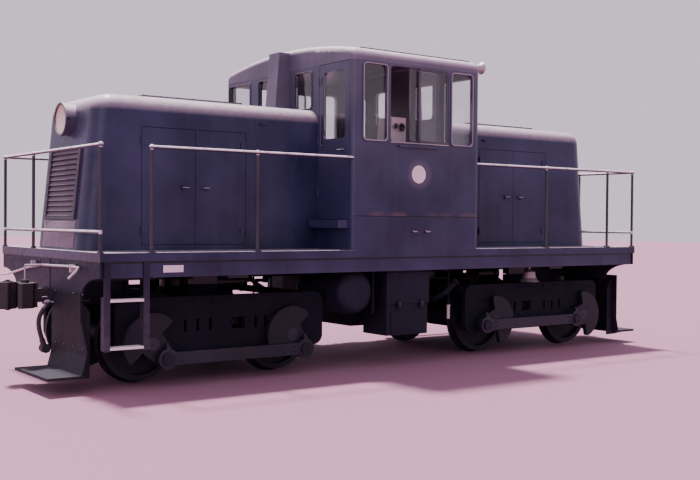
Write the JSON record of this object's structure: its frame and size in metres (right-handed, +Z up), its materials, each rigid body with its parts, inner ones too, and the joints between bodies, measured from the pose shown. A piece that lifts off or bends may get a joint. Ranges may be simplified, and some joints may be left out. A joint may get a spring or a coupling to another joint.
{
  "type": "diesel switching locomotive",
  "caption": "Centre-cab diesel switching locomotive with a low hood at each end, outside side rods on its swivelling trucks, walkways with pipe handrails, opening doors and knuckle couplers.",
  "frame": {"origin": "on the floor under the middle of the machine, level with the lowest points of the wheel flanges", "axes": "+X along the machine towards the end whose ladder is on the +Y side, +Y across it, +Z up"},
  "size_m": [8.8446, 2.98, 3.7876],
  "materials": {
    "body_paint": "faded satin paint",
    "running_gear": "dusty black",
    "wheel_steel": "greasy steel",
    "coupler_steel": "rust brown casting",
    "rail_paint": "white paint",
    "window_glass": "clear",
    "sash_metal": "dull",
    "hose_rubber": "perished",
    "lamp_glass": "amber tint",
    "seat_leather": "worn black",
    "bell_metal": "tarnished",
    "engine_iron": "oily grey",
    "cab_interior": "grey enamel"
  },
  "bodies": {
    "root": {"underframe": "running_gear", "pilots": "running_gear", "coupler_front": "coupler_steel", "coupler_rear": "coupler_steel", "uncoupling_levers": "rail_paint", "ladders": "body_paint", "handrails_front": "rail_paint", "handrails_rear": "rail_paint", "hood_front": "body_paint", "hood_rear": "body_paint", "grilles": "body_paint", "headlights": "body_paint", "headlight_lenses": "lamp_glass", "hood_hatches": "body_paint", "exhaust_stacks": "body_paint", "engines": "engine_iron", "cab_walls": "body_paint", "cab_roof": "body_paint", "cab_floor": "cab_interior", "cab_glass": "window_glass", "control_stand": "cab_interior", "seats": "seat_leather", "fuel_tank": "running_gear", "equipment_boxes": "running_gear", "air_reservoirs": "running_gear", "bell": "bell_metal", "horn": "running_gear", "deck": "running_gear", "end_sheets": "running_gear", "window_sashes": "sash_metal", "air_hose_front": "hose_rubber", "air_hose_rear": "hose_rubber", "glad_hand_front": "coupler_steel", "glad_hand_rear": "coupler_steel"},
    "truck_front": {"truck_frame_front": "running_gear", "traction_motor_front": "running_gear"},
    "wheelset_front_inner": {"wheelset_front_inner": "wheel_steel"},
    "wheelset_front_outer": {"wheelset_front_outer": "wheel_steel"},
    "side_rod_front_near": {"side_rod_front_near": "wheel_steel"},
    "side_rod_front_far": {"side_rod_front_far": "wheel_steel"},
    "truck_rear": {"truck_frame_rear": "running_gear", "traction_motor_rear": "running_gear"},
    "wheelset_rear_inner": {"wheelset_rear_inner": "wheel_steel"},
    "wheelset_rear_outer": {"wheelset_rear_outer": "wheel_steel"},
    "side_rod_rear_near": {"side_rod_rear_near": "wheel_steel"},
    "side_rod_rear_far": {"side_rod_rear_far": "wheel_steel"},
    "cab_door_front_near": {"cab_door_front_near": "body_paint", "cab_door_glass_front": "window_glass"},
    "cab_door_rear_far": {"cab_door_rear_far": "body_paint", "cab_door_glass_rear": "window_glass"},
    "hood_door_front_near_a": {"hood_door_front_near_a": "body_paint"},
    "hood_door_front_near_b": {"hood_door_front_near_b": "body_paint"},
    "hood_door_rear_near_a": {"hood_door_rear_near_a": "body_paint"},
    "hood_door_rear_near_b": {"hood_door_rear_near_b": "body_paint"},
    "hood_door_front_far_a": {"hood_door_front_far_a": "body_paint"},
    "hood_door_front_far_b": {"hood_door_front_far_b": "body_paint"},
    "hood_door_rear_far_a": {"hood_door_rear_far_a": "body_paint"},
    "hood_door_rear_far_b": {"hood_door_rear_far_b": "body_paint"}
  },
  "joints": [
    {"name": "truck_front_swivel", "type": "hinge", "parent": "root", "child": "truck_front", "pos_m": [-2.4, 0, 0.447], "axis": [0, 0, 1], "range_deg": [-3.5, 3.5]},
    {"name": "wheelset_front_inner_spin", "type": "hinge", "parent": "truck_front", "child": "wheelset_front_inner", "pos_m": [-1.562, 0, 0.447], "axis": [0, 1, 0], "continuous": true},
    {"name": "wheelset_front_outer_spin", "type": "hinge", "parent": "truck_front", "child": "wheelset_front_outer", "pos_m": [-3.238, 0, 0.447], "axis": [0, 1, 0], "continuous": true},
    {"name": "side_rod_front_near_pin", "type": "hinge", "parent": "wheelset_front_inner", "child": "side_rod_front_near", "pos_m": [-1.42148, -1.183, 0.29094], "axis": [0, 1, 0], "continuous": true},
    {"name": "side_rod_front_far_pin", "type": "hinge", "parent": "wheelset_front_inner", "child": "side_rod_front_far", "pos_m": [-1.40594, 1.183, 0.58752], "axis": [0, 1, 0], "continuous": true},
    {"name": "truck_rear_swivel", "type": "hinge", "parent": "root", "child": "truck_rear", "pos_m": [2.4, 0, 0.447], "axis": [0, 0, 1], "range_deg": [-3.5, 3.5]},
    {"name": "wheelset_rear_inner_spin", "type": "hinge", "parent": "truck_rear", "child": "wheelset_rear_inner", "pos_m": [1.562, 0, 0.447], "axis": [0, 1, 0], "continuous": true},
    {"name": "wheelset_rear_outer_spin", "type": "hinge", "parent": "truck_rear", "child": "wheelset_rear_outer", "pos_m": [3.238, 0, 0.447], "axis": [0, 1, 0], "continuous": true},
    {"name": "side_rod_rear_near_pin", "type": "hinge", "parent": "wheelset_rear_inner", "child": "side_rod_rear_near", "pos_m": [1.35659, -1.183, 0.40334], "axis": [0, 1, 0], "continuous": true},
    {"name": "side_rod_rear_far_pin", "type": "hinge", "parent": "wheelset_rear_inner", "child": "side_rod_rear_far", "pos_m": [1.60566, 1.183, 0.24159], "axis": [0, 1, 0], "continuous": true},
    {"name": "cab_door_front_near_hinge", "type": "hinge", "parent": "root", "child": "cab_door_front_near", "pos_m": [-0.973, -0.76, 2.583], "axis": [0, 0, -1], "range_deg": [0, 75]},
    {"name": "cab_door_rear_far_hinge", "type": "hinge", "parent": "root", "child": "cab_door_rear_far", "pos_m": [0.973, 0.76, 2.583], "axis": [0, 0, -1], "range_deg": [0, 75]},
    {"name": "hood_door_front_near_a_hinge", "type": "hinge", "parent": "root", "child": "hood_door_front_near_a", "pos_m": [-3.192, -0.754, 2.058], "axis": [0, 0, -1], "range_deg": [0, 110]},
    {"name": "hood_door_front_near_b_hinge", "type": "hinge", "parent": "root", "child": "hood_door_front_near_b", "pos_m": [-1.928, -0.754, 2.058], "axis": [0, 0, 1], "range_deg": [0, 110]},
    {"name": "hood_door_rear_near_a_hinge", "type": "hinge", "parent": "root", "child": "hood_door_rear_near_a", "pos_m": [1.618, -0.754, 2.058], "axis": [0, 0, -1], "range_deg": [0, 110]},
    {"name": "hood_door_rear_near_b_hinge", "type": "hinge", "parent": "root", "child": "hood_door_rear_near_b", "pos_m": [2.882, -0.754, 2.058], "axis": [0, 0, 1], "range_deg": [0, 110]},
    {"name": "hood_door_front_far_a_hinge", "type": "hinge", "parent": "root", "child": "hood_door_front_far_a", "pos_m": [-2.882, 0.754, 2.058], "axis": [0, 0, 1], "range_deg": [0, 110]},
    {"name": "hood_door_front_far_b_hinge", "type": "hinge", "parent": "root", "child": "hood_door_front_far_b", "pos_m": [-1.618, 0.754, 2.058], "axis": [0, 0, -1], "range_deg": [0, 110]},
    {"name": "hood_door_rear_far_a_hinge", "type": "hinge", "parent": "root", "child": "hood_door_rear_far_a", "pos_m": [1.928, 0.754, 2.058], "axis": [0, 0, 1], "range_deg": [0, 110]},
    {"name": "hood_door_rear_far_b_hinge", "type": "hinge", "parent": "root", "child": "hood_door_rear_far_b", "pos_m": [3.192, 0.754, 2.058], "axis": [0, 0, -1], "range_deg": [0, 110]}
  ],
  "couplings": [
    {"joint": "wheelset_front_outer_spin", "follows": "wheelset_front_inner_spin", "ratio": 1},
    {"joint": "side_rod_front_near_pin", "follows": "wheelset_front_inner_spin", "ratio": -1},
    {"joint": "side_rod_front_far_pin", "follows": "wheelset_front_inner_spin", "ratio": -1},
    {"joint": "wheelset_rear_outer_spin", "follows": "wheelset_rear_inner_spin", "ratio": 1},
    {"joint": "side_rod_rear_near_pin", "follows": "wheelset_rear_inner_spin", "ratio": -1},
    {"joint": "side_rod_rear_far_pin", "follows": "wheelset_rear_inner_spin", "ratio": -1}
  ]
}
